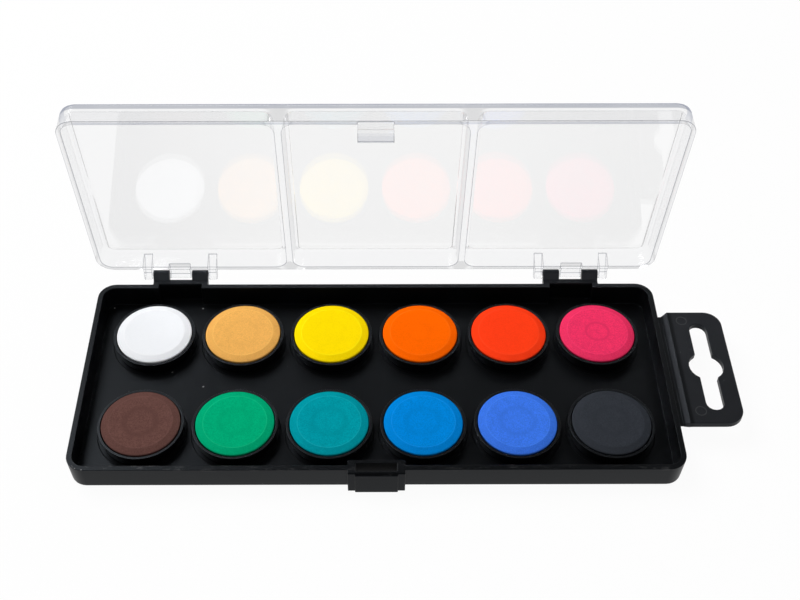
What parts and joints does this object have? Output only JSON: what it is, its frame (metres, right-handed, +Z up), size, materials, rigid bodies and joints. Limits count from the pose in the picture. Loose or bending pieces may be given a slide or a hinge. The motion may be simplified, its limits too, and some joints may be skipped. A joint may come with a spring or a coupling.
{
  "type": "watercolour paint box",
  "caption": "Flat black tray of round, lift-out watercolour pans in two rows, under a hinged clear lid with mixing wells; it has a snap latch and a slotted hang tab.",
  "frame": {"origin": "middle of the tray's underside, where it rests on a table", "axes": "+X along the tray towards the hang tab, +Y to the hinges at the back, +Z up"},
  "size_m": [0.1886, 0.0795, 0.0813],
  "materials": {
    "tray_plastic": "black moulded plastic with a satin sheen, light scuffs on the rim",
    "pan_plastic": "thin black plastic, satin",
    "lid_plastic": "clear, glossy, slightly cool tint",
    "white_paint": "dry pressed watercolour, matt and slightly dusty",
    "ochre_paint": "dry pressed watercolour, matt and slightly dusty",
    "yellow_paint": "dry pressed watercolour, matt and slightly dusty",
    "orange_paint": "dry pressed watercolour, matt and slightly dusty",
    "vermilion_paint": "dry pressed watercolour, matt and slightly dusty",
    "magenta_paint": "dry pressed watercolour, matt and slightly dusty",
    "brown_paint": "dry pressed watercolour, matt and slightly dusty",
    "green_paint": "dry pressed watercolour, matt and slightly dusty",
    "turquoise_paint": "dry pressed watercolour, matt and slightly dusty",
    "cerulean_paint": "dry pressed watercolour, matt and slightly dusty",
    "ultramarine_paint": "dry pressed watercolour, matt and slightly dusty",
    "black_paint": "dry pressed watercolour, matt and slightly dusty"
  },
  "bodies": {
    "tray": {"tray": "tray_plastic"},
    "lid": {"lid": "lid_plastic"},
    "pan_white": {"pan_white": "pan_plastic", "paint_white": "white_paint"},
    "pan_ochre": {"pan_ochre": "pan_plastic", "paint_ochre": "ochre_paint"},
    "pan_yellow": {"pan_yellow": "pan_plastic", "paint_yellow": "yellow_paint"},
    "pan_orange": {"pan_orange": "pan_plastic", "paint_orange": "orange_paint"},
    "pan_vermilion": {"pan_vermilion": "pan_plastic", "paint_vermilion": "vermilion_paint"},
    "pan_magenta": {"pan_magenta": "pan_plastic", "paint_magenta": "magenta_paint"},
    "pan_brown": {"pan_brown": "pan_plastic", "paint_brown": "brown_paint"},
    "pan_green": {"pan_green": "pan_plastic", "paint_green": "green_paint"},
    "pan_turquoise": {"pan_turquoise": "pan_plastic", "paint_turquoise": "turquoise_paint"},
    "pan_cerulean": {"pan_cerulean": "pan_plastic", "paint_cerulean": "cerulean_paint"},
    "pan_ultramarine": {"pan_ultramarine": "pan_plastic", "paint_ultramarine": "ultramarine_paint"},
    "pan_black": {"pan_black": "pan_plastic", "paint_black": "black_paint"}
  },
  "joints": [
    {"name": "lid_hinge", "type": "hinge", "parent": "tray", "child": "lid", "pos_m": [0, 0.0379, 0.00925], "axis": [-1, 0, 0], "range_deg": [-80.4, 101.6]},
    {"name": "pan_white_lift", "type": "slide", "parent": "tray", "child": "pan_white", "axis": [0, 0, 1], "range_m": [0, 0.02]},
    {"name": "pan_ochre_lift", "type": "slide", "parent": "tray", "child": "pan_ochre", "axis": [0, 0, 1], "range_m": [0, 0.02]},
    {"name": "pan_yellow_lift", "type": "slide", "parent": "tray", "child": "pan_yellow", "axis": [0, 0, 1], "range_m": [0, 0.02]},
    {"name": "pan_orange_lift", "type": "slide", "parent": "tray", "child": "pan_orange", "axis": [0, 0, 1], "range_m": [0, 0.02]},
    {"name": "pan_vermilion_lift", "type": "slide", "parent": "tray", "child": "pan_vermilion", "axis": [0, 0, 1], "range_m": [0, 0.02]},
    {"name": "pan_magenta_lift", "type": "slide", "parent": "tray", "child": "pan_magenta", "axis": [0, 0, 1], "range_m": [0, 0.02]},
    {"name": "pan_brown_lift", "type": "slide", "parent": "tray", "child": "pan_brown", "axis": [0, 0, 1], "range_m": [0, 0.02]},
    {"name": "pan_green_lift", "type": "slide", "parent": "tray", "child": "pan_green", "axis": [0, 0, 1], "range_m": [0, 0.02]},
    {"name": "pan_turquoise_lift", "type": "slide", "parent": "tray", "child": "pan_turquoise", "axis": [0, 0, 1], "range_m": [0, 0.02]},
    {"name": "pan_cerulean_lift", "type": "slide", "parent": "tray", "child": "pan_cerulean", "axis": [0, 0, 1], "range_m": [0, 0.02]},
    {"name": "pan_ultramarine_lift", "type": "slide", "parent": "tray", "child": "pan_ultramarine", "axis": [0, 0, 1], "range_m": [0, 0.02]},
    {"name": "pan_black_lift", "type": "slide", "parent": "tray", "child": "pan_black", "axis": [0, 0, 1], "range_m": [0, 0.02]}
  ]
}
